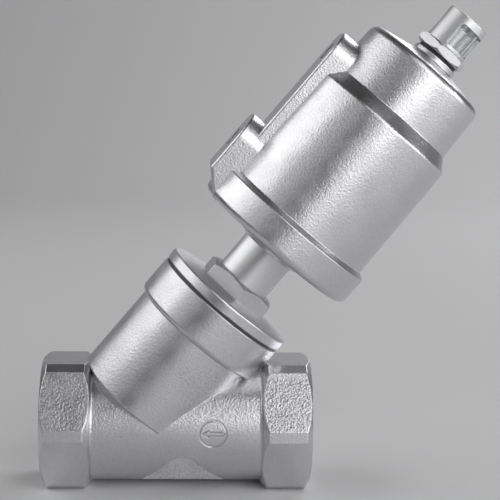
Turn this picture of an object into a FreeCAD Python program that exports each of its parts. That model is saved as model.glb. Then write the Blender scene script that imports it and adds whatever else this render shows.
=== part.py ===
"""Angle seat valve with a single-acting piston actuator, all sizes in millimetres.

The run lies along +X with the outlet mouth at the origin, and +Z is up. The stem axis
leaves the run axis at stem_cross_x and leans towards the inlet by stem_angle above the
run. A piece on the stem axis is drawn upright, at its station along that axis measured
from the point where the two axes cross, and is then leaned over by on_stem().
"""
import FreeCAD, Part
import math
import os

from FreeCAD import Placement, Rotation, Vector

# Body casting: run, ends and waterway
face_to_face = 150.0
stem_angle = 50.0
stem_cross_x = 44.0
end_flats = 71.0
end_length = 27.3
end_shoulder = 1.9
end_edge_round = 0.8
end_corner_strip = 6.3
end_chamfer_angle = 40.0
end_mouth_angle = 34.0
end_face_margin = 0.8
end_fillet = 1.8
port_radius = 28.33
port_depth = 22.0
waterway_radius = 25.5
waterway_wall = 7.0
parting_rib_width = 2.4
parting_rib_height = 0.9

# Body casting: neck, collar and seat
neck_radius = 37.5
neck_base = 14.0
neck_wall = 5.0
collar_radius = 40.4
collar_base = 65.5
collar_length = 21.5
collar_round = 3.0
seat_station = 24.0
seat_radius = 22.0
seat_lip_width = 2.5
seat_lip_height = 4.0
seat_bore_depth = 30.0
notch_apex_x = 78.6
notch_apex_z = -10.2
notch_flank_angle = 41.5
notch_round = 10.0
notch_web = 22.0

# Bonnet screwed into the neck
bonnet_thread_length = 18.0
bonnet_skirt_wall = 7.0
bonnet_pocket_depth = 10.0
bonnet_thread_step = 1.4
bonnet_thread_relief = 2.0
gasket_thickness = 1.5
gasket_inset = 0.9
bonnet_rim_thickness = 6.0
bonnet_rim_round = 1.2
bonnet_dome_rise = 2.0
bonnet_hex_flats = 39.5
bonnet_hex_height = 9.0
bonnet_hex_turn = 3.0
bonnet_nose_wall = 3.5

# Stem packing inside the bonnet
packing_radius = 10.5
packing_floor_web = 15.7
packing_wire = 1.6
packing_spring_turns = 3.0
packing_spring_height = 9.0
packing_washer_thickness = 1.5
packing_ring_count = 4
packing_ring_pitch = 2.0
packing_vee_depth = 1.2
gland_height = 3.5

# Yoke tube between bonnet and actuator
tube_radius = 16.0
tube_socket_radius = 14.5
tube_visible_height = 25.5
tube_lower_bore = 9.5
tube_lower_bore_length = 17.0
tube_chamfer = 0.6
guide_bush_radius = 10.5
guide_bush_length = 20.0
guide_bush_inset = 3.5
stem_seal_cord = 2.4

# Swivel joint where the actuator turns on the yoke tube
swivel_radius = 14.0
swivel_washer_width = 4.5
swivel_washer_thickness = 1.5
circlip_thickness = 1.5
circlip_depth = 1.1
circlip_width = 3.0
circlip_gap_angle = 24.0
tube_end_margin = 3.0

# Actuator casting
bore_radius = 40.0
actuator_ring_radius = 50.4
actuator_ring_height = 18.0
actuator_ring_round = 4.4
ring_step_height = 2.4
cylinder_foot_radius = 46.6
cylinder_top_radius = 45.0
cylinder_height = 70.6
cylinder_shoulder_round = 3.0
cap_step_height = 7.5
cap_foot_radius = 39.2
cap_top_radius = 37.9
cap_height = 30.6
cap_round = 5.0
cap_dome_rise = 4.9
cap_wall = 4.4
cap_wall_drop = 3.0
cap_roof = 5.0
top_boss_radius = 13.6
top_boss_height = 3.2

# Air port pads on the actuator casting
lower_pad_reach = 56.6
lower_pad_width = 40.0
lower_pad_round = 15.0
lower_port_height = 32.0
lower_pad_above_port = 16.6
lower_pad_chamfer = 13.0
pad_edge_round = 1.5
upper_pad_reach = 48.2
upper_pad_width = 37.0
upper_pad_round = 13.0
upper_port_drop = 28.1
upper_pad_above_port = 13.4
air_port_radius = 5.72
lower_port_depth = 12.0
upper_port_depth = 10.0
air_passage_radius = 2.0

# Actuator base, held up in the casting by a circlip
base_seat_depth = 13.0
base_ledge = 1.0
base_recess = 2.0
base_circlip_thickness = 1.6
base_circlip_width = 4.0
base_circlip_depth = 1.5
base_hub_radius = 22.0
base_hub_nose_radius = 17.6
base_hub_height = 4.0
base_seal_cord = 3.0
swivel_seal_cord = 2.6

# Piston, its seals and the closing springs
piston_rest_gap = 24.0
piston_thickness = 14.0
piston_land_gap = 0.3
piston_recess_depth = 6.0
piston_recess_radius = 33.0
piston_hub_radius = 13.0
piston_seal_offset = 2.5
piston_seal_height = 5.0
piston_seal_depth = 5.0
piston_seal_lip = 1.2
piston_seal_web = 2.0
guide_band_offset = 9.5
guide_band_height = 3.0
guide_band_depth = 1.5
spring_side_gap = 3.8
outer_spring_wire = 4.4
outer_spring_turns = 6.0
inner_spring_wire = 3.2
inner_spring_turns = 8.0

# Stem, disc and indicator
stem_radius = 6.0
stem_stroke = 14.0
stem_lower_radius = 4.9
stem_upper_radius = 5.0
disc_radius = 26.5
disc_thickness = 8.0
disc_hub_radius = 12.0
disc_hub_height = 4.0
seat_seal_radius = 25.6
seat_seal_thickness = 4.0
disc_washer_radius = 19.5
disc_washer_thickness = 4.0
disc_nut_flats = 16.0
disc_nut_height = 7.0
stem_thread_margin = 2.0
piston_washer_radius = 11.0
piston_washer_thickness = 1.5
piston_nut_flats = 17.0
piston_nut_height = 8.0
indicator_rod_radius = 3.2
indicator_tip_radius = 6.3
indicator_thread_radius = 8.8
indicator_thread_reach = 9.0
indicator_seal_cord = 1.8
indicator_seal_radius = 12.3
lock_nut_flats = 28.0
lock_nut_height = 5.4
lock_nut_turn = -18.0
housing_radius = 12.6
housing_height = 20.3
housing_wall = 2.0
housing_floor = 1.3
housing_chamfer = 0.6
window_base = 2.1
window_height = 13.8
window_half_width = 10.2
window_corner = 1.2
window_turn = 40.0
sleeve_wall = 1.5
sleeve_roof = 2.0
sleeve_sink = 1.0

# Small edges, the share of an edge that one rounded corner may take, and how far a cutting shape
# runs past the face that it opens
edge_round = 0.5
edge_bevel = 1.0
nut_face_share = 0.96
nut_bevel_angle = 30.0
smallest_step = 0.1
corner_share = 0.45
same_point = 1e-6
overlap = 1.0
far = 600.0

# Springs are wound in short straight stretches of many-sided wire
coil_stretches = 20
coil_sides = 10

# Angle from one side of a hexagon to the next
hexagon_step = 60.0

# Clearances between pieces that fit together
running_gap = 0.05
screw_gap = 0.05
seal_gap = 0.1
seat_gap = 0.2
stop_gap = 0.3

# Stations along the stem axis, from the crossing of the axes
collar_top = collar_base + collar_length
bonnet_seat = collar_top + gasket_thickness
bonnet_rim_top = bonnet_seat + bonnet_rim_thickness
hex_foot = bonnet_rim_top + bonnet_dome_rise
hex_top = hex_foot + bonnet_hex_height
tube_shoulder = hex_top + tube_visible_height
hub_bottom = tube_shoulder - base_hub_height
casting_foot = tube_shoulder
ring_top = casting_foot + actuator_ring_height
cylinder_foot = ring_top + ring_step_height
cylinder_top = cylinder_foot + cylinder_height
cap_foot = cylinder_top + cap_step_height
cap_top = cap_foot + cap_height
dome_top = cap_top + cap_dome_rise
boss_top = dome_top + top_boss_height
base_top = casting_foot + base_seat_depth
base_bottom = casting_foot + base_recess + base_circlip_thickness
chamber_roof = cap_top - cap_roof
lower_port_station = casting_foot + lower_port_height
upper_port_station = cap_top - upper_port_drop
piston_foot = base_top + piston_rest_gap
piston_top = piston_foot + piston_thickness
spring_floor = piston_top - piston_recess_depth
seal_top = seat_station + seat_seal_thickness
disc_top = seal_top + disc_thickness + disc_hub_height
nose_bottom = disc_top + stem_stroke + stop_gap
packing_floor = nose_bottom + packing_floor_web
packing_washer_base = packing_floor + packing_spring_height
packing_base = packing_washer_base + packing_washer_thickness
packing_top = packing_base + packing_ring_count * packing_ring_pitch
tube_foot = packing_top + gland_height
nut_foot = boss_top + indicator_seal_cord
housing_foot = nut_foot + lock_nut_height
housing_top = housing_foot + housing_height
sleeve_foot = housing_foot + housing_floor
sleeve_top = housing_top - sleeve_sink
tip_top = sleeve_top - sleeve_roof - stop_gap - stem_stroke
tip_foot = tip_top - stem_stroke

# Radii that follow from the fits
run_radius = end_flats / 2.0 - end_shoulder
neck_bore = neck_radius - neck_wall
neck_floor = seat_station - seat_lip_height
partition_floor = neck_floor - waterway_wall
bonnet_thread_radius = neck_bore + bonnet_thread_step
guide_radius = stem_radius + running_gap
base_seat_radius = bore_radius + base_ledge
base_plate_radius = base_seat_radius - running_gap
piston_radius = bore_radius - piston_land_gap
housing_bore = housing_radius - housing_wall
sleeve_radius = housing_bore - screw_gap
chamber_radius = cap_top_radius - cap_wall
spring_room = min(chamber_radius, piston_recess_radius) - spring_side_gap
outer_spring_radius = spring_room - outer_spring_wire / 2.0
inner_spring_radius = (piston_hub_radius + spring_room - outer_spring_wire) / 2.0

up = Vector(0, 0, 1)
leaned = Placement(Vector(stem_cross_x, 0, 0), Rotation(Vector(0, 1, 0), 90.0 - stem_angle))


def on_stem(shape):
    """Lean an upright shape over onto the stem axis."""
    placed = shape.copy()
    placed.transformShape(leaned.toMatrix())
    return placed


def disc_of(radius, low, high):
    """Upright solid cylinder between two stations."""
    return Part.makeCylinder(radius, high - low, Vector(0, 0, low), up)


def ring_of(outer, inner, low, high):
    """Upright ring between two stations."""
    return disc_of(outer, low, high).cut(disc_of(inner, low - overlap, high + overlap))


def bar_along_run(radius, start, end):
    """Solid cylinder on the run axis."""
    return Part.makeCylinder(radius, end - start, Vector(start, 0, 0), Vector(1, 0, 0))


def outline(corners):
    """Closed wire in the XZ plane through (x, z, corner radius) corners, rounded where asked."""
    count = len(corners)
    starts = []
    ends = []
    middles = []
    for index in range(count):
        x, z, radius = corners[index]
        here = Vector(x, 0, z)
        before = Vector(corners[index - 1][0], 0, corners[index - 1][1])
        after = Vector(corners[(index + 1) % count][0], 0, corners[(index + 1) % count][1])
        if radius <= 0.0:
            starts.append(here)
            ends.append(here)
            middles.append(None)
            continue
        back = (before - here).normalize()
        ahead = (after - here).normalize()
        half = back.getAngle(ahead) / 2.0
        reach = min(radius / math.tan(half), corner_share * (before - here).Length)
        reach = min(reach, corner_share * (after - here).Length)
        fitted = reach * math.tan(half)
        inward = (back + ahead).normalize()
        starts.append(here + back * reach)
        ends.append(here + ahead * reach)
        middles.append(here + inward * (fitted / math.sin(half) - fitted))
    edges = []
    for index in range(count):
        if middles[index] is not None:
            edges.append(Part.Arc(starts[index], middles[index], ends[index]).toShape())
        following = starts[(index + 1) % count]
        if (following - ends[index]).Length > same_point:
            edges.append(Part.LineSegment(ends[index], following).toShape())
    return Part.Wire(edges)


def turned(corners):
    """Solid of revolution about the upright axis from (radius, station, corner radius) corners."""
    return Part.Face(outline(corners)).revolve(Vector(0, 0, 0), up, 360.0)


def hexagon_bar(flats, low, high, turn=0.0):
    """Upright hexagonal prism with one corner towards the viewer's side, turned by an angle."""
    corner_radius = flats / math.sqrt(3.0)
    corners = []
    for index in range(7):
        angle = math.radians(hexagon_step * index - 90.0 + turn)
        corners.append(Vector(corner_radius * math.cos(angle), corner_radius * math.sin(angle), low))
    return Part.Face(Part.makePolygon(corners)).extrude(Vector(0, 0, high - low))


def nut_of(flats, hole, low, high, turn=0.0, both_ends=True):
    """Hexagon nut with its corners turned down to a cone, and a plain hole for its thread."""
    corner_radius = flats / math.sqrt(3.0)
    face_radius = nut_face_share * flats / 2.0
    drop = (corner_radius - face_radius) * math.tan(math.radians(nut_bevel_angle))
    foot = face_radius if both_ends else corner_radius
    rise = drop if both_ends else 0.0
    profile = [
        (0.0, low, 0.0),
        (foot, low, 0.0),
        (corner_radius, low + rise, 0.0),
        (corner_radius, high - drop, 0.0),
        (face_radius, high, 0.0),
        (0.0, high, 0.0),
    ]
    if not both_ends:
        profile.pop(1)
    blank = hexagon_bar(flats, low, high, turn).common(turned(profile))
    return blank.cut(disc_of(hole, low - overlap, high + overlap))


def seal_cord(middle_radius, cord, station):
    """Rubber ring of round cord, on a station."""
    return Part.makeTorus(middle_radius, cord / 2.0, Vector(0, 0, station), up)


def circlip(inner, outer, low, high, gap_angle):
    """Open retaining ring, its gap turned away from the pads."""
    ring = ring_of(outer, inner, low, high)
    reach = outer / math.cos(math.radians(gap_angle / 2.0)) + overlap
    half = math.radians(gap_angle / 2.0)
    wedge = [
        Vector(0, 0, low - overlap),
        Vector(reach * math.cos(half), reach * math.sin(half), low - overlap),
        Vector(reach * math.cos(half), -reach * math.sin(half), low - overlap),
        Vector(0, 0, low - overlap),
    ]
    gap = Part.Face(Part.makePolygon(wedge)).extrude(Vector(0, 0, high - low + 2.0 * overlap))
    return ring.cut(gap)


def coil_spring(middle_radius, wire, turns, low, high):
    """Wire wound evenly between two flat seats, a little clear of both, in short straight stretches."""
    start = low + wire / 2.0 + seat_gap
    rise = high - low - wire - 2.0 * seat_gap
    slope = math.atan2(rise / turns, 2.0 * math.pi * middle_radius)
    stretches = round(turns * coil_stretches)
    sections = []
    for step in range(stretches + 1):
        share = step / stretches
        angle = 2.0 * math.pi * turns * share
        outward = Vector(math.cos(angle), math.sin(angle), 0)
        along = Vector(-math.sin(angle) * math.cos(slope), math.cos(angle) * math.cos(slope), math.sin(slope))
        across = along.cross(outward)
        centre = outward * middle_radius + Vector(0, 0, start + rise * share)
        corners = []
        for side in range(coil_sides + 1):
            turn = 2.0 * math.pi * (side % coil_sides) / coil_sides
            corners.append(centre + (outward * math.cos(turn) + across * math.sin(turn)) * (wire / 2.0))
        sections.append(Part.makePolygon(corners))
    return Part.makeLoft(sections, True, True)


def end_hexagon():
    """One hexagonal end for a pipe wrench, standing upright from its mouth at station 0."""
    corner_radius = end_flats / math.sqrt(3.0)
    strip_flats = 2.0 * (corner_radius - end_corner_strip / 2.0 / math.tan(math.radians(hexagon_step)))
    blank = hexagon_bar(end_flats, 0.0, end_length)
    blank = blank.common(hexagon_bar(strip_flats, 0.0, end_length, hexagon_step / 2.0))
    mouth_slope = math.tan(math.radians(end_mouth_angle))
    slope = math.tan(math.radians(end_chamfer_angle))
    outer_radius = end_flats / 2.0 - end_face_margin
    inner_radius = end_flats / 2.0
    rim = corner_radius
    profile = [
        (0.0, 0.0, 0.0),
        (outer_radius, 0.0, 0.0),
        (rim, (rim - outer_radius) * mouth_slope, 0.0),
        (rim, end_length - (rim - inner_radius) * slope, 0.0),
        (inner_radius, end_length, 0.0),
        (0.0, end_length, 0.0),
    ]
    blank = blank.common(turned(profile))
    return blank.makeFillet(end_edge_round, blank.Edges)


def end_throat():
    """Concave fillet from the inner face of a hexagon down to the run."""
    radius = min(end_fillet, end_shoulder - smallest_step)
    top = end_length + radius
    blank = ring_of(run_radius + radius, run_radius - overlap, end_length - overlap, top)
    return blank.cut(Part.makeTorus(run_radius + radius, radius, Vector(0, 0, top), up))


def laid_on_run(shape, mouth_x, mirrored):
    """Lay an upright end piece along the run, with its mouth at mouth_x."""
    turn = -90.0 if mirrored else 90.0
    placed = shape.copy()
    placed.transformShape(Placement(Vector(mouth_x, 0, 0), Rotation(Vector(0, 1, 0), turn)).toMatrix())
    return placed


def half_space_box():
    """Box larger than the body, centred on the origin, to keep one side of a plane."""
    return Part.makeBox(far, far, far, Vector(-far / 2.0, -far / 2.0, -far / 2.0))


def body_notch():
    """Hollows under the run, front and back, where the wall follows the two passages."""
    slope = math.tan(math.radians(notch_flank_angle))
    drop = run_radius + notch_round
    half_base = (drop + notch_apex_z) / slope
    corners = [
        (notch_apex_x, notch_apex_z, notch_round),
        (notch_apex_x + half_base, -drop, 0.0),
        (notch_apex_x - half_base, -drop, 0.0),
    ]
    section = Part.Face(outline(corners))
    reach = run_radius + notch_round
    front = section.extrude(Vector(0, -reach, 0))
    front.translate(Vector(0, -notch_web / 2.0, 0))
    back = section.extrude(Vector(0, reach, 0))
    back.translate(Vector(0, notch_web / 2.0, 0))
    return front.fuse(back)


def outlet_passage():
    """Space from the outlet mouth to the underside of the seat."""
    slope = math.tan(math.radians(notch_flank_angle))
    flank_x = notch_apex_x - (waterway_radius + notch_apex_z) / slope
    end_x = flank_x - waterway_wall / math.sin(math.radians(notch_flank_angle))
    straight = bar_along_run(waterway_radius, -overlap, end_x)
    below = half_space_box()
    below.translate(Vector(0, 0, partition_floor - far / 2.0))
    below = on_stem(below)
    seat_bore = on_stem(disc_of(seat_radius, seat_station - seat_bore_depth, seat_station + overlap))
    return straight.common(below).fuse(seat_bore)


def inlet_passage():
    """Space from the inlet mouth to the chamber above the seat."""
    straight = bar_along_run(waterway_radius, notch_apex_x, face_to_face + overlap)
    keep = half_space_box()
    keep.translate(Vector(waterway_wall + far / 2.0, 0, 0))
    flank = Rotation(Vector(0, 1, 0), notch_flank_angle - 90.0)
    keep.transformShape(Placement(Vector(notch_apex_x, 0, notch_apex_z), flank).toMatrix())
    chamber = ring_of(neck_bore, seat_radius + seat_lip_width, neck_floor, seat_station)
    chamber = chamber.fuse(disc_of(neck_bore, seat_station, collar_top + overlap))
    thread = disc_of(bonnet_thread_radius + screw_gap, collar_top - bonnet_thread_length - bonnet_thread_relief,
                     collar_top + overlap)
    return straight.common(keep).fuse(on_stem(chamber)).fuse(on_stem(thread))


def valve_body():
    """Cast body: run with two hexagonal ends, slanted neck with its collar, seat and passages."""
    casting = bar_along_run(run_radius, end_length - overlap, face_to_face - end_length + overlap)
    for mouth_x, mirrored in ((0.0, False), (face_to_face, True)):
        casting = casting.fuse(laid_on_run(end_hexagon(), mouth_x, mirrored))
        casting = casting.fuse(laid_on_run(end_throat(), mouth_x, mirrored))
    rib_length = face_to_face - 2.0 * (end_length - overlap)
    rib_foot = Vector(end_length - overlap, -parting_rib_width / 2.0, -run_radius - parting_rib_height)
    casting = casting.fuse(Part.makeBox(rib_length, parting_rib_width, run_radius / 2.0, rib_foot))
    collar = turned([
        (0.0, collar_base, 0.0),
        (collar_radius, collar_base, collar_round),
        (collar_radius, collar_top, edge_round),
        (0.0, collar_top, 0.0),
    ])
    neck = turned([
        (0.0, neck_base, 0.0),
        (neck_radius, neck_base, edge_bevel),
        (neck_radius, collar_base + overlap, 0.0),
        (0.0, collar_base + overlap, 0.0),
    ])
    neck = neck.fuse(collar)
    casting = casting.cut(body_notch()).fuse(on_stem(neck))
    casting = casting.cut(outlet_passage()).cut(inlet_passage())
    for mouth_x, mirrored in ((0.0, False), (face_to_face, True)):
        bore = disc_of(port_radius, -overlap, port_depth)
        casting = casting.cut(laid_on_run(bore, mouth_x, mirrored))
    return casting.removeSplitter()


def bonnet_gasket():
    """Flat sealing washer between the collar and the bonnet."""
    return on_stem(ring_of(collar_radius - gasket_inset, bonnet_thread_radius + stop_gap, collar_top, bonnet_seat))


def bonnet():
    """Screwed bonnet: threaded skirt, rim, low dome with a hexagon, nose that stops the disc."""
    skirt_foot = collar_top - bonnet_thread_length
    pocket_top = skirt_foot + bonnet_pocket_depth
    nose_radius = packing_radius + bonnet_nose_wall
    pocket_radius = bonnet_thread_radius - bonnet_skirt_wall
    blank = turned([
        (0.0, nose_bottom, 0.0),
        (nose_radius, nose_bottom, edge_bevel),
        (nose_radius, pocket_top, 2.0 * edge_bevel),
        (pocket_radius, pocket_top, 2.0 * edge_bevel),
        (pocket_radius, skirt_foot, 0.0),
        (bonnet_thread_radius, skirt_foot, edge_bevel),
        (bonnet_thread_radius, bonnet_seat, 0.0),
        (collar_radius, bonnet_seat, edge_round),
        (collar_radius, bonnet_rim_top, bonnet_rim_round),
        (bonnet_hex_flats / 2.0, hex_foot, 0.0),
        (0.0, hex_foot, 0.0),
    ])
    hexagon = nut_of(bonnet_hex_flats, packing_radius, bonnet_rim_top - overlap, hex_top, bonnet_hex_turn, False)
    blank = blank.fuse(hexagon)
    blank = blank.cut(disc_of(guide_radius, nose_bottom - overlap, hex_top))
    blank = blank.cut(disc_of(packing_radius, packing_floor, hex_top + overlap))
    blank = blank.cut(disc_of(tube_socket_radius + screw_gap, tube_foot, hex_top + overlap))
    return on_stem(blank.removeSplitter())


def packing_spring():
    """Small spring that keeps the packing pressed against the gland."""
    middle = (packing_radius + stem_radius) / 2.0
    return on_stem(coil_spring(middle, packing_wire, packing_spring_turns, packing_floor, packing_washer_base))


def packing_washer():
    """Flat washer between the spring and the packing."""
    return on_stem(ring_of(packing_radius - screw_gap, guide_radius, packing_washer_base, packing_base))


def packing_rings():
    """Stack of vee-shaped packing rings, each nested in the one below."""
    rings = []
    middle = (packing_radius + stem_radius) / 2.0
    outer = packing_radius - screw_gap
    for index in range(packing_ring_count):
        low = packing_base + index * packing_ring_pitch
        high = low + packing_ring_pitch
        corners = [(guide_radius, low, 0.0)]
        if index > 0:
            corners.append((middle, low + packing_vee_depth, 0.0))
        corners.append((outer, low, 0.0))
        corners.append((outer, high, 0.0))
        if index < packing_ring_count - 1:
            corners.append((middle, high + packing_vee_depth, 0.0))
        corners.append((guide_radius, high, 0.0))
        rings.append(turned(corners))
    return on_stem(Part.makeCompound(rings))


def packing_gland():
    """Ring on top of the packing, held down by the foot of the yoke tube."""
    return on_stem(ring_of(packing_radius - screw_gap, guide_radius, packing_top, tube_foot))


def yoke_tube():
    """Turned tube that carries the actuator, screwed into the bonnet at its foot."""
    top = base_top + swivel_washer_thickness + circlip_thickness + tube_end_margin
    blank = turned([
        (0.0, tube_foot, 0.0),
        (tube_socket_radius, tube_foot, 0.0),
        (tube_socket_radius, hex_top, 0.0),
        (tube_radius, hex_top, 0.0),
        (tube_radius, tube_shoulder, tube_chamfer),
        (swivel_radius, tube_shoulder, 0.0),
        (swivel_radius, top, tube_chamfer),
        (0.0, top, 0.0),
    ])
    blank = blank.cut(disc_of(tube_lower_bore, tube_foot - overlap, top + overlap))
    blank = blank.cut(disc_of(guide_bush_radius, tube_foot + tube_lower_bore_length, top + overlap))
    groove_foot = base_top + swivel_washer_thickness
    groove_top = groove_foot + circlip_thickness
    groove = ring_of(swivel_radius + overlap, swivel_radius - circlip_depth, groove_foot, groove_top)
    return on_stem(blank.cut(groove))


def guide_bush_stations():
    """Foot and top of the guide bush in the head of the yoke tube."""
    top = base_top + swivel_washer_thickness + circlip_thickness + tube_end_margin - guide_bush_inset
    return top - guide_bush_length, top


def stem_guide_bush():
    """Bearing bush for the stem, with a groove for its seal ring."""
    low, high = guide_bush_stations()
    bush = ring_of(guide_bush_radius - screw_gap, guide_radius, low, high)
    middle = (low + high) / 2.0
    groove_top = stem_radius + stem_seal_cord + running_gap
    return on_stem(bush.cut(groove_around(middle, stem_seal_cord, groove_top, guide_radius - overlap)))


def stem_seal_ring():
    """Rubber ring that keeps the air of the cylinder out of the yoke tube."""
    low, high = guide_bush_stations()
    cord = stem_seal_cord
    return on_stem(seal_cord(stem_radius + running_gap + cord / 2.0, cord, (low + high) / 2.0))


def swivel_washer():
    """Washer on the actuator base, under the circlip of the swivel."""
    top = base_top + swivel_washer_thickness
    outer = swivel_radius + swivel_washer_width
    return on_stem(ring_of(outer, swivel_radius + running_gap, base_top, top))


def swivel_circlip():
    """Circlip in the groove of the yoke tube that keeps the actuator on it."""
    low = base_top + swivel_washer_thickness
    inner = swivel_radius - circlip_depth
    return on_stem(circlip(inner, inner + circlip_width, low, low + circlip_thickness, circlip_gap_angle))


def pad_blank(reach, width, corner, low, high):
    """Flat pad facing away from the inlet, its two upper corners rounded."""
    corners = [
        (-width / 2.0, low, 0.0),
        (width / 2.0, low, 0.0),
        (width / 2.0, high, corner),
        (-width / 2.0, high, corner),
    ]
    pad = Part.Face(outline(corners)).extrude(Vector(0, reach, 0))
    pad.rotate(Vector(0, 0, 0), up, 90.0)
    return pad


def rounded_rim(pad, innermost):
    """Round the edges of a pad beyond a distance from the cylinder's axis, except along its foot."""
    rim = []
    for edge in pad.Edges:
        outside = edge.BoundBox.XMax < smallest_step - innermost
        above_foot = edge.BoundBox.ZMax > pad.BoundBox.ZMin + smallest_step
        if outside and above_foot:
            rim.append(edge)
    return pad.makeFillet(pad_edge_round, rim)


def casting_pads():
    """Upper and lower air port pads, the lower one sloped off towards the foot."""
    upper_top = upper_port_station + upper_pad_above_port
    lower_top = lower_port_station + lower_pad_above_port
    upper = pad_blank(upper_pad_reach, upper_pad_width, upper_pad_round, lower_port_station, upper_top)
    lower = pad_blank(lower_pad_reach, lower_pad_width, lower_pad_round, casting_foot, lower_top)
    slope = Part.Face(outline([
        (-lower_pad_reach - overlap, casting_foot - overlap, 0.0),
        (-lower_pad_reach + lower_pad_chamfer, casting_foot - overlap, 0.0),
        (-lower_pad_reach - overlap, casting_foot + lower_pad_chamfer, 0.0),
    ])).extrude(Vector(0, lower_pad_width + 2.0 * overlap, 0))
    slope.translate(Vector(0, -lower_pad_width / 2.0 - overlap, 0))
    lower = rounded_rim(lower.cut(slope), lower_pad_reach - lower_pad_chamfer)
    return rounded_rim(upper, upper_pad_reach).fuse(lower)


def air_port(reach, station, depth):
    """Threaded air port in a pad, with its narrow passage into the cylinder."""
    inward = Vector(1, 0, 0)
    mouth = Part.makeCylinder(air_port_radius, depth + overlap, Vector(-reach - overlap, 0, station), inward)
    bottom = Vector(-reach + depth, 0, station)
    cone = Part.makeCone(air_port_radius, air_passage_radius, air_passage_radius, bottom, inward)
    length = reach - chamber_radius + air_passage_radius
    passage = Part.makeCylinder(air_passage_radius, length, Vector(-reach, 0, station), inward)
    return mouth.fuse(cone).fuse(passage)


def actuator_cylinder():
    """Cast cylinder: foot ring, main cylinder, stepped cap with its boss, and the air port pads."""
    casting = turned([
        (0.0, casting_foot, 0.0),
        (actuator_ring_radius, casting_foot, actuator_ring_round),
        (actuator_ring_radius, ring_top, edge_bevel),
        (cylinder_foot_radius, cylinder_foot, edge_round),
        (cylinder_top_radius, cylinder_top, cylinder_shoulder_round),
        (cap_foot_radius, cap_foot, edge_round),
        (cap_top_radius, cap_top, cap_round),
        (top_boss_radius, dome_top, edge_bevel),
        (top_boss_radius, boss_top, edge_round),
        (0.0, boss_top, 0.0),
    ])
    casting = casting.fuse(casting_pads())
    casting = casting.cut(turned([
        (0.0, casting_foot - overlap, 0.0),
        (base_seat_radius, casting_foot - overlap, 0.0),
        (base_seat_radius, base_top, 0.0),
        (bore_radius, base_top, 0.0),
        (bore_radius, cylinder_top - cap_wall_drop, 0.0),
        (chamber_radius, cap_foot - cap_wall_drop, 0.0),
        (chamber_radius, chamber_roof, cap_round),
        (0.0, chamber_roof, 0.0),
    ]))
    casting = casting.cut(disc_of(indicator_thread_radius + screw_gap, chamber_roof - overlap, boss_top + overlap))
    groove_foot = casting_foot + base_recess
    groove_top = groove_foot + base_circlip_thickness
    groove_radius = base_seat_radius + base_circlip_depth
    casting = casting.cut(ring_of(groove_radius, base_seat_radius - overlap, groove_foot, groove_top))
    casting = casting.cut(air_port(lower_pad_reach, lower_port_station, lower_port_depth))
    casting = casting.cut(air_port(upper_pad_reach, upper_port_station, upper_port_depth))
    return on_stem(casting.removeSplitter())


def actuator_base():
    """Plate that closes the cylinder from below, with the hub that turns on the yoke tube."""
    blank = turned([
        (0.0, hub_bottom, 0.0),
        (base_hub_nose_radius, hub_bottom, edge_round),
        (base_hub_radius, tube_shoulder - edge_round, 0.0),
        (base_hub_radius, base_bottom, edge_bevel),
        (base_plate_radius, base_bottom, edge_round),
        (base_plate_radius, base_top, 0.0),
        (0.0, base_top, 0.0),
    ])
    blank = blank.cut(disc_of(tube_radius + running_gap, hub_bottom - overlap, tube_shoulder))
    blank = blank.cut(disc_of(swivel_radius + running_gap, hub_bottom, base_top + overlap))
    station = base_seal_station()
    outer_floor = base_plate_radius - base_seal_cord - seal_gap
    inner_floor = swivel_radius + running_gap + swivel_seal_cord + seal_gap
    blank = blank.cut(groove_around(station, base_seal_cord, base_plate_radius + overlap, outer_floor))
    blank = blank.cut(groove_around(station, swivel_seal_cord, inner_floor, swivel_radius - overlap))
    return on_stem(blank)


def groove_around(station, cord, outer, inner):
    """Ring-shaped groove a little taller than its seal cord."""
    half = cord / 2.0 + 2.0 * seal_gap
    return ring_of(outer, inner, station - half, station + half)


def base_seal_station():
    """Station of both seal rings of the actuator base."""
    return (base_bottom + base_top) / 2.0


def base_seal_ring():
    """Rubber ring between the base and the cylinder wall."""
    cord = base_seal_cord
    return on_stem(seal_cord(base_plate_radius - cord / 2.0, cord, base_seal_station()))


def swivel_seal_ring():
    """Rubber ring between the base and the yoke tube."""
    cord = swivel_seal_cord
    return on_stem(seal_cord(swivel_radius + running_gap + cord / 2.0, cord, base_seal_station()))


def base_circlip():
    """Circlip that holds the base up in the cylinder."""
    low = casting_foot + base_recess
    outer = base_seat_radius + base_circlip_depth
    inner = outer - base_circlip_width
    return on_stem(circlip(inner, outer, low, low + base_circlip_thickness, circlip_gap_angle / 2.0))


def closing_spring_outer():
    """Large spring that drives the piston down and closes the valve."""
    wire = outer_spring_wire
    return on_stem(coil_spring(outer_spring_radius, wire, outer_spring_turns, spring_floor, chamber_roof))


def closing_spring_inner():
    """Second closing spring inside the large one."""
    wire = inner_spring_wire
    return on_stem(coil_spring(inner_spring_radius, wire, inner_spring_turns, spring_floor, chamber_roof))


def piston():
    """Piston disc with grooves for its lip seal and guide band and a recess for the springs."""
    blank = turned([
        (0.0, piston_foot, 0.0),
        (piston_radius, piston_foot, edge_bevel),
        (piston_radius, piston_top, edge_bevel),
        (piston_recess_radius, piston_top, 0.0),
        (piston_recess_radius, spring_floor, edge_bevel),
        (piston_hub_radius, spring_floor, edge_bevel),
        (piston_hub_radius, piston_top, edge_round),
        (0.0, piston_top, 0.0),
    ])
    seal_foot = piston_foot + piston_seal_offset
    band_foot = piston_foot + guide_band_offset
    seal_floor = piston_radius - piston_seal_depth
    band_floor = piston_radius - guide_band_depth
    blank = blank.cut(ring_of(bore_radius, seal_floor, seal_foot, seal_foot + piston_seal_height))
    blank = blank.cut(ring_of(bore_radius, band_floor, band_foot, band_foot + guide_band_height))
    return on_stem(blank.cut(disc_of(stem_upper_radius + screw_gap, piston_foot - overlap, piston_top + overlap)))


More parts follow.
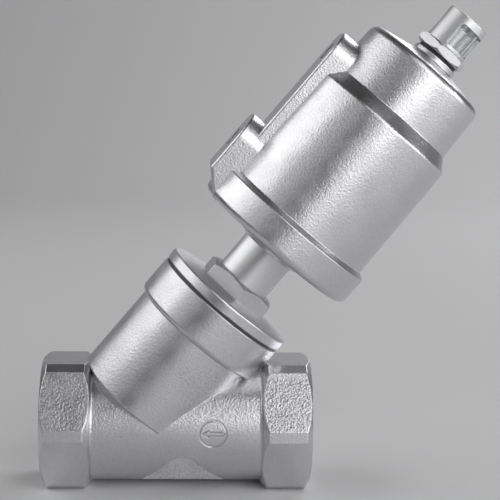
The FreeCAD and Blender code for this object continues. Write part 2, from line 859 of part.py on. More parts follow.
def piston_seal():
    """Rubber lip seal of the piston, open towards the air side below."""
    low = piston_foot + piston_seal_offset
    high = low + piston_seal_height
    inner = piston_radius - piston_seal_depth
    outer = bore_radius - running_gap
    middle = (inner + outer) / 2.0
    lip = piston_seal_lip
    return on_stem(turned([
        (inner, low, 0.0),
        (inner + lip, low, 0.0),
        (middle, high - piston_seal_web, edge_round),
        (outer - lip, low, 0.0),
        (outer, low, edge_round),
        (outer, low + lip, 0.0),
        (outer - edge_round, high, 0.0),
        (inner, high, 0.0),
    ]))


def piston_guide_band():
    """Slide band that keeps the piston off the cylinder wall."""
    low = piston_foot + guide_band_offset
    inner = piston_radius - guide_band_depth
    return on_stem(ring_of(bore_radius - running_gap, inner, low, low + guide_band_height))


def stem_foot():
    """Station of the lower tip of the stem, below its nut."""
    return seat_station - disc_washer_thickness - disc_nut_height - stem_thread_margin


def stem_head():
    """Station of the upper end of the stem, above the piston nut."""
    return piston_top + piston_washer_thickness + piston_nut_height + stem_thread_margin


def valve_stem():
    """Turned stem, stepped down at the disc and at the piston."""
    return on_stem(turned([
        (0.0, stem_foot(), 0.0),
        (stem_lower_radius, stem_foot(), edge_round),
        (stem_lower_radius, disc_top, 0.0),
        (stem_radius, disc_top, edge_round),
        (stem_radius, piston_foot, edge_round),
        (stem_upper_radius, piston_foot, 0.0),
        (stem_upper_radius, stem_head(), edge_round),
        (0.0, stem_head(), 0.0),
    ]))


def disc_holder():
    """Plug that carries the seat seal, with a hub around the stem."""
    return on_stem(turned([
        (stem_lower_radius + screw_gap, seal_top, 0.0),
        (seat_seal_radius, seal_top, 0.0),
        (disc_radius, seal_top + edge_bevel, 0.0),
        (disc_radius, seal_top + disc_thickness - 2.0 * edge_bevel, edge_bevel),
        (disc_hub_radius, seal_top + disc_thickness, edge_bevel),
        (disc_hub_radius, disc_top, edge_round),
        (stem_lower_radius + screw_gap, disc_top, 0.0),
    ]))


def seat_seal():
    """Plastic ring that closes on the seat lip."""
    return on_stem(ring_of(seat_seal_radius, stem_lower_radius + screw_gap, seat_station, seal_top))


def disc_washer():
    """Clamp washer under the seat seal, free inside the seat bore."""
    low = seat_station - disc_washer_thickness
    return on_stem(turned([
        (stem_lower_radius + screw_gap, low, 0.0),
        (disc_washer_radius - 2.0 * edge_bevel, low, 0.0),
        (disc_washer_radius, low + 2.0 * edge_bevel, 0.0),
        (disc_washer_radius, seat_station, 0.0),
        (stem_lower_radius + screw_gap, seat_station, 0.0),
    ]))


def disc_nut():
    """Nut on the foot of the stem."""
    high = seat_station - disc_washer_thickness
    return on_stem(nut_of(disc_nut_flats, stem_lower_radius + screw_gap, high - disc_nut_height, high))


def piston_washer():
    """Washer between the piston hub and its nut."""
    inner = stem_upper_radius + screw_gap
    return on_stem(ring_of(piston_washer_radius, inner, piston_top, piston_top + piston_washer_thickness))


def piston_nut():
    """Nut that holds the piston on the stem."""
    low = piston_top + piston_washer_thickness
    return on_stem(nut_of(piston_nut_flats, stem_upper_radius + screw_gap, low, low + piston_nut_height))


def indicator_rod():
    """Thin rod from the head of the stem up into the indicator."""
    return on_stem(disc_of(indicator_rod_radius, stem_head(), tip_foot))


def indicator_tip():
    """Bright cap of the rod that rises behind the window as the valve opens."""
    return on_stem(turned([
        (0.0, tip_foot, 0.0),
        (indicator_tip_radius, tip_foot, edge_round),
        (indicator_tip_radius, tip_top, edge_bevel),
        (0.0, tip_top, 0.0),
    ]))


def indicator_seal_ring():
    """Rubber ring between the boss of the casting and the lock nut."""
    return on_stem(turned([
        (indicator_thread_radius + screw_gap, boss_top, 0.0),
        (indicator_seal_radius, boss_top, edge_round),
        (indicator_seal_radius, nut_foot, edge_round),
        (indicator_thread_radius + screw_gap, nut_foot, 0.0),
    ]))


def indicator_lock_nut():
    """Thin nut that locks the indicator housing on the boss."""
    return on_stem(nut_of(lock_nut_flats, indicator_thread_radius + screw_gap, nut_foot, housing_foot,
                          lock_nut_turn))


def window_slot():
    """Slot milled straight through the housing, leaving two pillars."""
    low = housing_foot + window_base
    high = low + window_height
    slot = Part.Face(outline([
        (-window_half_width, low, window_corner),
        (window_half_width, low, window_corner),
        (window_half_width, high, window_corner),
        (-window_half_width, high, window_corner),
    ])).extrude(Vector(0, 2.0 * (housing_radius + overlap), 0))
    slot.translate(Vector(0, -housing_radius - overlap, 0))
    slot.rotate(Vector(0, 0, 0), up, window_turn)
    return slot


def indicator_housing():
    """Turned steel cage of the indicator, on a threaded spigot."""
    spigot_foot = boss_top - indicator_thread_reach
    blank = turned([
        (0.0, spigot_foot, 0.0),
        (indicator_thread_radius, spigot_foot, edge_bevel),
        (indicator_thread_radius, housing_foot, 0.0),
        (housing_radius, housing_foot, edge_round),
        (housing_radius, housing_top, housing_chamfer),
        (0.0, housing_top, 0.0),
    ])
    blank = blank.cut(disc_of(housing_bore, sleeve_foot, housing_top + overlap))
    blank = blank.cut(disc_of(indicator_tip_radius + stop_gap, tip_foot - stop_gap, housing_top))
    blank = blank.cut(disc_of(indicator_rod_radius + stop_gap, spigot_foot - overlap, housing_top))
    return on_stem(blank.cut(window_slot()))


def indicator_window():
    """Clear cap inside the cage, closed at the top."""
    blank = turned([
        (0.0, sleeve_foot, 0.0),
        (sleeve_radius, sleeve_foot, 0.0),
        (sleeve_radius, sleeve_top, edge_bevel),
        (0.0, sleeve_top, 0.0),
    ])
    return on_stem(blank.cut(disc_of(sleeve_radius - sleeve_wall, sleeve_foot - overlap, sleeve_top - sleeve_roof)))


pieces = [
    valve_body, bonnet_gasket, bonnet, packing_spring, packing_washer, packing_rings, packing_gland,
    yoke_tube, stem_guide_bush, stem_seal_ring, swivel_washer, swivel_circlip,
    actuator_cylinder, actuator_base, base_seal_ring, swivel_seal_ring, base_circlip,
    closing_spring_outer, closing_spring_inner, indicator_seal_ring, indicator_lock_nut,
    indicator_housing, indicator_window,
    valve_stem, disc_holder, seat_seal, disc_washer, disc_nut, piston, piston_seal, piston_guide_band,
    piston_washer, piston_nut, indicator_rod, indicator_tip,
]

os.makedirs("parts", exist_ok=True)
for make_piece in pieces:
    solid = make_piece()
    solid.exportStep("parts/" + make_piece.__name__ + ".step")
    print(make_piece.__name__, len(solid.Solids), "solid", "volume", round(solid.Volume, 1))
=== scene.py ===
import bmesh
import bpy
import math
from mathutils import Matrix, Vector


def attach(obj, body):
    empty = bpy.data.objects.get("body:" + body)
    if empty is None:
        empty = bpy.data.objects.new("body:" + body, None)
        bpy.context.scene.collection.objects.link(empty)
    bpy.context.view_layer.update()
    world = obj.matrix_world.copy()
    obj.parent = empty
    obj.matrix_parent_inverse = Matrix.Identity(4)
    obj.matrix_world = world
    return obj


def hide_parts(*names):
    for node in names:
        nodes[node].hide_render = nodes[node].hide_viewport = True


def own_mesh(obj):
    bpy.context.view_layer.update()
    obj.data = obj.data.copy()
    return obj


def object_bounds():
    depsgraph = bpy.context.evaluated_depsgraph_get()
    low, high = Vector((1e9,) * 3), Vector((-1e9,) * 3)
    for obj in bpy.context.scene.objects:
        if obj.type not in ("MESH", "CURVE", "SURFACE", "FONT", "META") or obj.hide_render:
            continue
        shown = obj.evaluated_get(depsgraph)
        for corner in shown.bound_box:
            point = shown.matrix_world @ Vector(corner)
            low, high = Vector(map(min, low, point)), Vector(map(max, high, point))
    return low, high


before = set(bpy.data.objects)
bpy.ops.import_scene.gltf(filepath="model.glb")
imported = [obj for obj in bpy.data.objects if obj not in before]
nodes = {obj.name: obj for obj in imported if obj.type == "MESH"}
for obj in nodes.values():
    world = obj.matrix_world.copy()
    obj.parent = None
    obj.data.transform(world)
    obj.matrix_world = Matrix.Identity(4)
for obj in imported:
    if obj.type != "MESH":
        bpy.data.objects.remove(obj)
cad_low, cad_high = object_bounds()

# Valve body: one stainless casting with two hexagonal wrench ends, each tapped with a pipe thread,
# and the slanted neck. It is investment cast and then blasted with glass bead, which leaves a fine
# grain, coarser on the upper wrench flats, beside the neck and in the hollow under the run.
# In the hollow under the run the pits of the grain are darkened further, as painted shade.
face_to_face = 0.150
end_length = 0.0273
cast_colour = (0.70, 0.695, 0.715)
cast_roughness = 0.35
edge_softness = 0.0006
edge_samples = 6
grain_detail = 2.0
pebble_size = 0.0011
pebble_depth = 0.00014
coarse_size = 0.0013
coarse_depth = 0.00026
# Colour mixed into the pits of the grain; where the pits darken more, in the hollow under the run, it
# is painted shade.
pit_and_shade_colour = (0.33, 0.325, 0.34)
pit_rim = 0.54
pit_floor = 0.36
pit_share = 0.10
coarse_pit_and_shade_share = 0.5
wander_size = 0.012
wander_spread = 0.05
wander_detail = 3.0
wander_low = 0.3
wander_high = 0.7
patch_fade = 0.003
beyond_mouth = 0.010
flats_low = 0.002
flats_high = 0.031
outlet_share = 0.8
inlet_share = 1.0
corner_start = 0.075
corner_low = 0.006
corner_high = 0.040
corner_share = 0.4
# The hollow under the run: coarser grain, and darker pits there that are painted shade.
hollow_start = 0.062
hollow_end = 0.096
hollow_low = -0.050
hollow_high = -0.021
hollow_share = 0.4


def plain_finish(name, colour, metallic, roughness):
    """A material with one plain shader: returns the material, its tree and the shader."""
    material = bpy.data.materials.new(name)
    material.use_nodes = True
    tree = material.node_tree
    shader = tree.nodes["Principled BSDF"]
    shader.inputs["Base Color"].default_value = (*colour, 1.0)
    shader.inputs["Metallic"].default_value = metallic
    shader.inputs["Roughness"].default_value = roughness
    return material, tree, shader


def node_of(tree, kind, **values):
    """A new shader node with its inputs set or linked by name."""
    made = tree.nodes.new(kind)
    for key, value in values.items():
        socket = made.inputs[key.replace("_", " ")]
        if isinstance(value, bpy.types.NodeSocket):
            tree.links.new(value, socket)
        else:
            socket.default_value = value
    return made


def place_on(tree):
    """Object coordinates, in metres from the outlet mouth."""
    return tree.nodes.new("ShaderNodeTexCoord").outputs["Object"]


def figure(tree, operation, *terms):
    """The result of one sum on numbers or sockets."""
    made = tree.nodes.new("ShaderNodeMath")
    made.operation = operation
    for socket, term in zip(made.inputs, terms):
        if isinstance(term, bpy.types.NodeSocket):
            tree.links.new(term, socket)
        else:
            socket.default_value = term
    return made.outputs[0]


def rising(tree, value, start, end):
    """A factor that climbs from 0 at start to 1 at end."""
    made = node_of(tree, "ShaderNodeMapRange", Value=value, From_Min=start, From_Max=end)
    made.interpolation_type = "SMOOTHSTEP"
    return made.outputs["Result"]


def soft_edges(tree, softness):
    """Normals that round every sharp edge by a small radius."""
    made = node_of(tree, "ShaderNodeBevel", Radius=softness)
    made.samples = edge_samples
    return made.outputs["Normal"]


def noise_of(tree, size, detail):
    """Even noise with spots of a given size."""
    made = node_of(tree, "ShaderNodeTexNoise", Vector=place_on(tree), Scale=1.0 / size, Detail=detail)
    return made.outputs["Fac"]


def uneven(tree, shader, size, spread):
    """Let the roughness wander a little around its value, as on a handled surface."""
    level = shader.inputs["Roughness"].default_value
    made = node_of(tree, "ShaderNodeMapRange", Value=noise_of(tree, size, wander_detail),
                   From_Min=wander_low, From_Max=wander_high,
                   To_Min=level - spread, To_Max=level + spread)
    tree.links.new(made.outputs["Result"], shader.inputs["Roughness"])


def pebbles(tree, normal, size, depth, strength=1.0):
    """Cast or blasted grain laid over the normals that come before it."""
    bump = node_of(tree, "ShaderNodeBump", Height=noise_of(tree, size, grain_detail), Normal=normal,
                   Distance=depth, Strength=strength)
    return bump.outputs["Normal"]


def pitted(tree, shader, size, strength):
    """Darken the pits of the grain, where the skin of the casting stays; with a raised strength the
    darker pits are painted shade.
    """
    pits = rising(tree, noise_of(tree, size, grain_detail), pit_rim, pit_floor)
    mixed = node_of(tree, "ShaderNodeMixRGB", Fac=figure(tree, "MULTIPLY", pits, strength),
                    Color1=(*cast_colour, 1.0), Color2=(*pit_and_shade_colour, 1.0))
    tree.links.new(mixed.outputs["Color"], shader.inputs["Base Color"])


def patch(tree, start, end, low, high):
    """A factor that is 1 on one stretch of the run between two heights and fades out at its sides."""
    split = node_of(tree, "ShaderNodeSeparateXYZ", Vector=place_on(tree))
    result = 1.0
    for axis, near, far in (("X", start, end), ("Z", low, high)):
        up = rising(tree, split.outputs[axis], near, near + patch_fade)
        down = rising(tree, split.outputs[axis], far, far - patch_fade)
        result = figure(tree, "MULTIPLY", figure(tree, "MULTIPLY", up, down), result)
    return result


def body_steel():
    """Blasted cast stainless steel with the coarser patches of the body, and painted shade from darker
    pits in the hollow under the run.
    """
    material, tree, shader = plain_finish("body_stainless", cast_colour, 1.0, cast_roughness)
    uneven(tree, shader, wander_size, wander_spread)
    inlet_start = face_to_face - end_length
    outlet_flats = patch(tree, -beyond_mouth, end_length, flats_low, flats_high)
    inlet_flats = patch(tree, inlet_start, face_to_face + beyond_mouth, flats_low, flats_high)
    corner = patch(tree, corner_start, inlet_start, corner_low, corner_high)
    hollow = patch(tree, hollow_start, hollow_end, hollow_low, hollow_high)
    strength = 0.0
    for place, share in ((outlet_flats, outlet_share), (inlet_flats, inlet_share),
                         (corner, corner_share), (hollow, hollow_share)):
        strength = figure(tree, "MULTIPLY_ADD", place, share, strength)
    # The coarse patches darken their pits more; in the hollow under the run this darkening is painted
    # shade.
    pit_and_shade_strength = figure(tree, "MULTIPLY_ADD", strength, coarse_pit_and_shade_share, pit_share)
    pitted(tree, shader, coarse_size, pit_and_shade_strength)
    normal = pebbles(tree, soft_edges(tree, edge_softness), pebble_size, pebble_depth)
    normal = pebbles(tree, normal, coarse_size, coarse_depth, strength)
    tree.links.new(normal, shader.inputs["Normal"])
    return material


run_radius = 0.0336
sign_centre = Vector((0.09515, 0.0, 0.0005))
sign_depth = 0.0008
sign_cutter_height = 4.0 * sign_depth
ring_radius = 0.0078
ring_line = 0.0010
ring_sides = 72
arrow_line = 0.0005
arrow_half = ((-0.0066, 0.0), (-0.0024, 0.0022), (-0.0014, 0.0012), (0.0056, 0.0012), (0.0066, 0.0))
pipe_thread_radius = 0.02833
pipe_thread_pitch = 0.002309
pipe_thread_height = 0.00148
pipe_thread_length = 0.0195
thread_sides = 64
thread_half_mouth = 0.43
thread_half_root = 0.09
thread_overlap = 1.0 / 6.0
quarter_turn = math.pi / 2.0
merge_distance = 0.000001
sharp_angle = math.radians(28.0)


def linked(name, shape):
    """An object at the origin from a finished mesh."""
    data = bpy.data.meshes.new(name)
    shape.to_mesh(data)
    shape.free()
    made = bpy.data.objects.new(name, data)
    bpy.context.scene.collection.objects.link(made)
    return made


def groove_cutter(name, shape, width):
    """Turn a flat shape into the cutter of a groove along its edge, on the near side of the run."""
    shape.normal_update()
    middle = list(shape.faces)
    bmesh.ops.inset_region(shape, faces=middle, thickness=width, use_even_offset=True,
                           use_boundary=True)
    bmesh.ops.delete(shape, geom=middle, context="FACES")
    rim = bmesh.ops.extrude_face_region(shape, geom=list(shape.faces), use_keep_orig=True)["geom"]
    raised = [item for item in rim if isinstance(item, bmesh.types.BMVert)]
    bmesh.ops.translate(shape, vec=(0.0, 0.0, sign_cutter_height), verts=raised)
    bmesh.ops.translate(shape, vec=(0.0, 0.0, run_radius - sign_depth), verts=list(shape.verts))
    for vert in shape.verts:
        high = vert.co.y + sign_centre.z
        sag = run_radius - math.sqrt(run_radius ** 2 - high ** 2)
        vert.co = Vector((vert.co.x + sign_centre.x, sag - vert.co.z, high))
    bmesh.ops.recalc_face_normals(shape, faces=list(shape.faces))
    return linked(name, shape)


def ring_cutter():
    """Cutter for the engraved circle of the flow sign."""
    shape = bmesh.new()
    bmesh.ops.create_circle(shape, radius=ring_radius, segments=ring_sides, cap_ends=True)
    return groove_cutter("ring_cutter", shape, ring_line)


def arrow_cutter():
    """Cutter for the outline of the flow arrow, which points at the outlet."""
    shape = bmesh.new()
    outline = [*arrow_half, *((x, -y) for x, y in reversed(arrow_half[1:-1]))]
    shape.faces.new([shape.verts.new((x, y, 0.0)) for x, y in outline])
    return groove_cutter("arrow_cutter", shape, arrow_line)


def thread_cutter(radius, pitch, height, length, mouth, lean):
    """Screw thread that cuts its groove into a bore and starts one turn outside the mouth."""
    shape = bmesh.new()
    inner = radius - thread_overlap * height
    outer = radius + height
    wide = thread_half_mouth * pitch
    narrow = thread_half_root * pitch
    profile = ((inner, -wide), (inner, wide), (outer, narrow), (outer, -narrow))
    corners = [shape.verts.new((distance, 0.0, rise - pitch)) for distance, rise in profile]
    face = shape.faces.new(corners)
    steps = round((length / pitch + 1.0) * thread_sides)
    bmesh.ops.spin(shape, geom=[face, *face.edges, *face.verts], cent=(0.0, 0.0, 0.0),
                   axis=(0.0, 0.0, 1.0), dvec=(0.0, 0.0, pitch / thread_sides),
                   angle=2.0 * math.pi * steps / thread_sides, steps=steps,
                   use_merge=False, use_duplicate=False)
    bmesh.ops.recalc_face_normals(shape, faces=list(shape.faces))
    laid = Matrix.Translation(mouth) @ Matrix.Rotation(lean, 4, "Y")
    bmesh.ops.transform(shape, matrix=laid, verts=list(shape.verts))
    return linked("thread_cutter", shape)


def carved(name, node, cutters, material):
    """A merged copy of a CAD node with shapes cut out of it, standing for the node."""
    shape = bmesh.new()
    shape.from_mesh(nodes[node].data)
    bmesh.ops.remove_doubles(shape, verts=list(shape.verts), dist=merge_distance)
    for face in shape.faces:
        face.smooth = True
    for edge in shape.edges:
        edge.smooth = True
    piece = linked(name, shape)
    if "custom_normal" in piece.data.attributes:
        piece.data.attributes.remove(piece.data.attributes["custom_normal"])
    for cutter in cutters:
        carve = piece.modifiers.new("carve", "BOOLEAN")
        carve.operation = "DIFFERENCE"
        carve.solver = "EXACT"
        carve.object = cutter
    seen = piece.evaluated_get(bpy.context.evaluated_depsgraph_get())
    result = bpy.data.meshes.new_from_object(seen)
    piece.modifiers.clear()
    piece.data = result
    for cutter in cutters:
        bpy.data.objects.remove(cutter)
    result.set_sharp_from_angle(angle=sharp_angle)
    result.materials.clear()
    result.materials.append(material)
    weigh = piece.modifiers.new("weigh", "WEIGHTED_NORMAL")
    weigh.keep_sharp = True
    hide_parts(node)
    return piece


body_cutters = [ring_cutter(), arrow_cutter()]
for mouth, lean in ((0.0, quarter_turn), (face_to_face, -quarter_turn)):
    body_cutters.append(thread_cutter(pipe_thread_radius, pipe_thread_pitch, pipe_thread_height,
                                      pipe_thread_length, Vector((mouth, 0.0, 0.0)), lean))
body = carved("body_casting", "valve_body", body_cutters, body_steel())
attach(body, "valve")

# Gasket: a flat ring clamped between the collar of the body and the bonnet, of plastic coloured dark,
# so that it shows as a dark line in the joint.
dark_ptfe_colour = (0.06, 0.06, 0.065)
moulded_softness = edge_softness / 3.0
ptfe_roughness = 0.45
ptfe_grain_size = 0.0006
ptfe_grain_depth = 0.00001


def moulded(name, colour, metallic, roughness, size, depth):
    """A finish with faint grain and rounded edges, for moulded, drawn or sawn pieces."""
    material, tree, shader = plain_finish(name, colour, metallic, roughness)
    uneven(tree, shader, wander_size, wander_spread)
    normal = pebbles(tree, soft_edges(tree, moulded_softness), size, depth)
    tree.links.new(normal, shader.inputs["Normal"])
    return material


def finish_node(name, material):
    """Give a CAD node its finish."""
    mesh = nodes[name].data
    mesh.materials.clear()
    mesh.materials.append(material)


dark_ptfe = moulded("dark_ptfe", dark_ptfe_colour, 0.0, ptfe_roughness, ptfe_grain_size,
                      ptfe_grain_depth)
finish_node("bonnet_gasket", dark_ptfe)


# Bonnet: a stainless cap with rim, low dome and hexagon, screwed into the neck. It is cast and
# blasted like the body, with the fine grain all over.
def cast_steel():
    """Blasted cast stainless steel with one fine grain."""
    material, tree, shader = plain_finish("cast_stainless", cast_colour, 1.0, cast_roughness)
    uneven(tree, shader, wander_size, wander_spread)
    pitted(tree, shader, pebble_size, pit_share)
    normal = pebbles(tree, soft_edges(tree, edge_softness), pebble_size, pebble_depth)
    tree.links.new(normal, shader.inputs["Normal"])
    return material


casting_steel = cast_steel()
finish_node("bonnet", casting_steel)

# Stem packing in the bonnet: a steel spring and a turned washer press a stack of white plastic
# vee rings against the turned gland, which the foot of the yoke tube holds down.
turned_colour = (0.74, 0.74, 0.75)
turned_roughness = 0.30
turned_softness = edge_softness / 2.0
line_pitch = 0.00025
line_depth = 0.000004
stem_lean = math.radians(40.0)
wire_colour = (0.45, 0.45, 0.47)
wire_roughness = 0.3
wire_grain_size = 0.0005
wire_grain_depth = 0.000008
ptfe_colour = (0.80, 0.80, 0.79)


def turned_steel(name="turned_stainless", colour=turned_colour, roughness=turned_roughness):
    """Metal turned on a lathe, with fine lines around the stem axis."""
    material, tree, shader = plain_finish(name, colour, 1.0, roughness)
    uneven(tree, shader, wander_size, wander_spread / 2.0)
    along = tree.nodes.new("ShaderNodeMapping")
    along.vector_type = "POINT"
    along.inputs["Rotation"].default_value = (0.0, -stem_lean, 0.0)
    tree.links.new(place_on(tree), along.inputs["Vector"])
    split = node_of(tree, "ShaderNodeSeparateXYZ", Vector=along.outputs["Vector"])
    lines = tree.nodes.new("ShaderNodeTexNoise")
    lines.noise_dimensions = "1D"
    lines.inputs["Scale"].default_value = 1.0 / line_pitch
    tree.links.new(split.outputs["Z"], lines.inputs["W"])
    bump = node_of(tree, "ShaderNodeBump", Height=lines.outputs["Fac"],
                   Normal=soft_edges(tree, turned_softness), Distance=line_depth)
    tree.links.new(bump.outputs["Normal"], shader.inputs["Normal"])
    return material


turned = turned_steel()
wire = moulded("spring_steel", wire_colour, 1.0, wire_roughness, wire_grain_size, wire_grain_depth)
ptfe = moulded("ptfe", ptfe_colour, 0.0, ptfe_roughness, ptfe_grain_size, ptfe_grain_depth)
finish_node("packing_spring", wire)
finish_node("packing_washer", turned)
finish_node("packing_rings", ptfe)
finish_node("packing_gland", turned)

# Yoke tube: a turned and frosted stainless tube screwed into the bonnet, with the stem's bronze
# bush and rubber seal ring in its head, and the washer and circlip on which the actuator turns.
frosted_roughness = 0.42
bronze_colour = (0.55, 0.36, 0.17)
bronze_roughness = 0.35
rubber_colour = (0.02, 0.02, 0.02)
rubber_roughness = 0.5
rubber_grain_size = 0.0003
rubber_grain_depth = 0.00001
frosted = turned_steel("frosted_steel", turned_colour, frosted_roughness)
bronze = turned_steel("bronze", bronze_colour, bronze_roughness)
rubber = moulded("seal_rubber", rubber_colour, 0.0, rubber_roughness, rubber_grain_size,
                 rubber_grain_depth)
finish_node("yoke_tube", frosted)
finish_node("stem_guide_bush", bronze)
finish_node("stem_seal_ring", rubber)
finish_node("swivel_washer", turned)
finish_node("swivel_circlip", wire)

# Stem, disc and seat seal: a turned stainless stem with the disc on its foot, and a white plastic
# ring that a washer and a nut clamp under the disc, which closes on the seat of the body.
for name in ("valve_stem", "disc_holder", "disc_washer", "disc_nut"):
    finish_node(name, turned)
finish_node("seat_seal", ptfe)

# Actuator base: a turned stainless plate that closes the foot of the cylinder around the yoke
# tube. A rubber ring seals it on each of them, and a circlip holds it up in the cylinder.
finish_node("actuator_base", turned)
finish_node("base_seal_ring", rubber)
finish_node("swivel_seal_ring", rubber)
finish_node("base_circlip", wire)

# Piston: turned aluminium with a rubber lip seal and a plastic slide band around it, fixed on
# the stem with a washer and a nut.
aluminium_colour = (0.77, 0.77, 0.78)
aluminium_roughness = 0.3
aluminium = turned_steel("piston_aluminium", aluminium_colour, aluminium_roughness)
finish_node("piston", aluminium)
finish_node("piston_seal", rubber)
finish_node("piston_guide_band", ptfe)
finish_node("piston_washer", turned)
finish_node("piston_nut", turned)

# Closing springs: two coils of round steel wire, one inside the other, between the piston and the roof
# of the casting.
stem_cross = Vector((0.044, 0.0, 0.0))
spring_floor = 0.176
spring_roof = 0.2551
spring_seat_gap = 0.0002
outer_radius = 0.0270
outer_wire = 0.0044
outer_turns = 6.0
inner_radius = 0.0189
inner_wire = 0.0032
inner_turns = 8.0
wire_sides = 16
coil_stretches = 48


def closing_spring(name, radius, thickness, turns):
    """Coil of round wire around the stem."""
    shape = bmesh.new()
    low = spring_floor + spring_seat_gap + thickness / 2.0
    rise = spring_roof - spring_floor - thickness - 2.0 * spring_seat_gap
    bmesh.ops.create_circle(shape, radius=thickness / 2.0, segments=wire_sides, cap_ends=True)
    upright = Matrix.Translation((radius, 0.0, low)) @ Matrix.Rotation(quarter_turn, 4, "X")
    bmesh.ops.transform(shape, matrix=upright, verts=list(shape.verts))
    steps = round(turns * coil_stretches)
    bmesh.ops.spin(shape, geom=[*shape.faces, *shape.edges, *shape.verts], cent=(0.0, 0.0, 0.0),
                   axis=(0.0, 0.0, 1.0), dvec=(0.0, 0.0, rise / steps), angle=2.0 * math.pi * turns,
                   steps=steps, use_merge=False, use_duplicate=False)
    bmesh.ops.recalc_face_normals(shape, faces=list(shape.faces))
    for face in shape.faces:
        face.smooth = len(face.verts) == 4
    leaned = Matrix.Translation(stem_cross) @ Matrix.Rotation(stem_lean, 4, "Y")
    bmesh.ops.transform(shape, matrix=leaned, verts=list(shape.verts))
    piece = linked(name, shape)
    piece.data.materials.append(wire)
    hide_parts("closing_" + name)
    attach(piece, "actuator")
    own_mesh(piece)


closing_spring("spring_outer", outer_radius, outer_wire, outer_turns)
closing_spring("spring_inner", inner_radius, inner_wire, inner_turns)

# Actuator casting: foot ring, cylinder and stepped cap in one blasted casting with its pads,
# whose two air ports are tapped with a quarter-inch thread.
air_thread_radius = 0.00572
air_thread_pitch = 0.001337
air_thread_height = 0.00086
lower_port = Vector((0.105416, 0.0, 0.161247))
upper_port = Vector((0.156203, 0.0, 0.208705))
lower_thread_length = 0.0105
upper_thread_length = 0.0085

port_cutters = []
for mouth, length in ((lower_port, lower_thread_length), (upper_port, upper_thread_length)):
    port_cutters.append(thread_cutter(air_thread_radius, air_thread_pitch, air_thread_height, length,
                                      mouth, stem_lean + quarter_turn))
casting = carved("actuator_casting", "actuator_cylinder", port_cutters, casting_steel)
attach(casting, "actuator")

# Indicator: rubber ring, lock nut, turned steel cage with a clear cap inside it, and the rod
# with its white cap that rises behind the window.
clear_colour = (0.95, 0.96, 0.97)
clear_roughness = 0.03
clear_wander_size = wander_size / 4.0
clear_wander_spread = 0.02
clear_refraction = 1.49
white_colour = (0.85, 0.85, 0.85)
white_roughness = 0.3
clear, clear_tree, clear_shader = plain_finish("clear_plastic", clear_colour, 0.0, clear_roughness)
uneven(clear_tree, clear_shader, clear_wander_size, clear_wander_spread)
clear_shader.inputs["Transmission Weight"].default_value = 1.0
clear_shader.inputs["IOR"].default_value = clear_refraction
white = moulded("white_plastic", white_colour, 0.0, white_roughness, ptfe_grain_size, ptfe_grain_depth)
finish_node("indicator_seal_ring", rubber)
finish_node("indicator_lock_nut", frosted)
finish_node("indicator_housing", frosted)
finish_node("indicator_window", clear)
finish_node("indicator_rod", turned)
finish_node("indicator_tip", white)

# Studio: one sheet of pale paper, flat under the valve and curved up into a pale wall behind it,
# extruded row by row from its front edge.
floor_colour = (0.72, 0.72, 0.73)
floor_roughness = 0.8
floor_half_width = 3.0
floor_front = -2.5
wall_foot = 1.4
wall_height = 2.6
wall_curve = 0.6
curve_steps = 24


def carry_on(mesh, edges, step):
    """Extrude a row of edges by one step and return the new row."""
    made = bmesh.ops.extrude_edge_only(mesh, edges=edges)["geom"]
    verts = [item for item in made if isinstance(item, bmesh.types.BMVert)]
    bmesh.ops.translate(mesh, vec=step, verts=verts)
    return [item for item in made if isinstance(item, bmesh.types.BMEdge) and item.is_boundary
            and all(vert in verts for vert in item.verts)]


stage_mesh = bmesh.new()
left_corner = stage_mesh.verts.new((-floor_half_width, floor_front, cad_low.z))
right_corner = stage_mesh.verts.new((floor_half_width, floor_front, cad_low.z))
row = [stage_mesh.edges.new((left_corner, right_corner))]
row = carry_on(stage_mesh, row, (0.0, wall_foot - floor_front, 0.0))
for step in range(curve_steps):
    start = quarter_turn * step / curve_steps
    end = quarter_turn * (step + 1) / curve_steps
    forward = wall_curve * (math.sin(end) - math.sin(start))
    upward = wall_curve * (math.cos(start) - math.cos(end))
    row = carry_on(stage_mesh, row, (0.0, forward, upward))
carry_on(stage_mesh, row, (0.0, 0.0, wall_height))
for face in stage_mesh.faces:
    face.smooth = True
backdrop = linked("backdrop", stage_mesh)
paper, _, _ = plain_finish("backdrop_paper", floor_colour, 0.0, floor_roughness)
backdrop.data.materials.append(paper)

# Room and lamps: a dark grey room with six soft lamps. The left one makes the bright stripe
# along every cylinder, those in front light the flats and the run, the one behind lights the wall
# and the edges, and a low one lights the floor that shows in the right side of the cylinders.
room_level = 0.035
aim = Vector((0.12, 0.0, 0.09))
right_floor = Vector((0.45, -0.10, -0.03))
low_lamp_offset = Vector((0.50, -0.22, 0.18))


def soft_lamp(name, target, direction, distance, width, height, power):
    """A rectangular lamp that faces its target from afar and that the camera doesn't see."""
    lamp = bpy.data.lights.new(name, "AREA")
    lamp.shape = "RECTANGLE"
    lamp.size = width
    lamp.size_y = height
    lamp.energy = power
    place = target + distance * Vector(direction).normalized()
    holder = bpy.data.objects.new(name, lamp)
    holder.location = place
    holder.rotation_euler = (target - place).to_track_quat("-Z", "Y").to_euler()
    holder.visible_camera = False
    bpy.context.scene.collection.objects.link(holder)


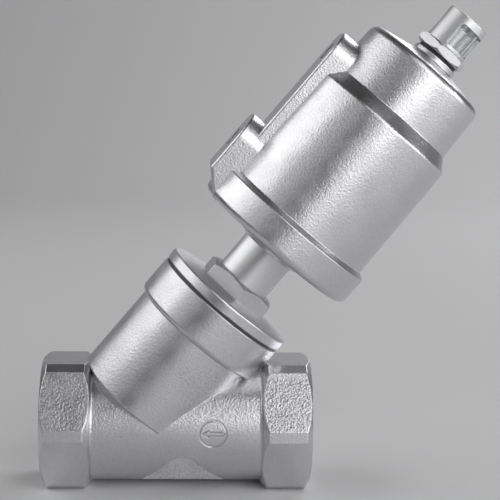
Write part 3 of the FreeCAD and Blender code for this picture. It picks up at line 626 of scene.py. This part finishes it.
world = bpy.data.worlds.new("room")
bpy.context.scene.world = world
world.use_nodes = True
room_colour = world.node_tree.nodes["Background"].inputs["Color"]
room_colour.default_value = (room_level, room_level, room_level, 1.0)
soft_lamp("left_lamp", aim, direction=(-0.75, 0.05, 0.62), distance=1.5,
          width=1.7, height=0.9, power=8.0)
soft_lamp("fill_lamp", aim, direction=(-0.62, -0.68, 0.42), distance=2.0,
          width=1.1, height=0.9, power=2.0)
soft_lamp("front_lamp", aim, direction=(0.44, -0.86, 0.22), distance=1.9,
          width=1.6, height=1.1, power=13.0)
soft_lamp("high_lamp", aim, direction=(0.30, -0.66, 0.69), distance=1.9,
          width=1.0, height=0.6, power=4.0)
soft_lamp("back_lamp", aim, direction=(0.52, 0.66, 0.54), distance=2.0,
          width=1.2, height=0.8, power=13.0)
soft_lamp("low_lamp", right_floor, direction=low_lamp_offset, distance=low_lamp_offset.length,
          width=0.5, height=0.3, power=1.6)

# Camera: at the photograph's place, turned a little to the right, down and clockwise, with its
# lens fitted to the photograph as well.
camera_place = Vector((0.08143, -0.84478, 0.22171))
camera_yaw = math.radians(2.296)
camera_pitch = math.radians(8.353)
camera_roll = math.radians(0.839)
focal_length = 109.94
nearest_seen = 0.01
look = Vector((math.sin(camera_yaw) * math.cos(camera_pitch),
               math.cos(camera_yaw) * math.cos(camera_pitch),
               -math.sin(camera_pitch)))
right = Vector((math.cos(camera_yaw), -math.sin(camera_yaw), 0.0))
above = right.cross(look)
rolled_right = right * math.cos(camera_roll) + above * math.sin(camera_roll)
rolled_above = above * math.cos(camera_roll) - right * math.sin(camera_roll)
camera_data = bpy.data.cameras.new("camera")
camera_data.lens = focal_length
camera_data.clip_start = nearest_seen
camera = bpy.data.objects.new("camera", camera_data)
camera.matrix_world = Matrix((
    (rolled_right.x, rolled_above.x, -look.x, camera_place.x),
    (rolled_right.y, rolled_above.y, -look.y, camera_place.y),
    (rolled_right.z, rolled_above.z, -look.z, camera_place.z),
    (0.0, 0.0, 0.0, 1.0),
))
bpy.context.scene.collection.objects.link(camera)
bpy.context.scene.camera = camera
bpy.context.scene.view_settings.view_transform = "Standard"
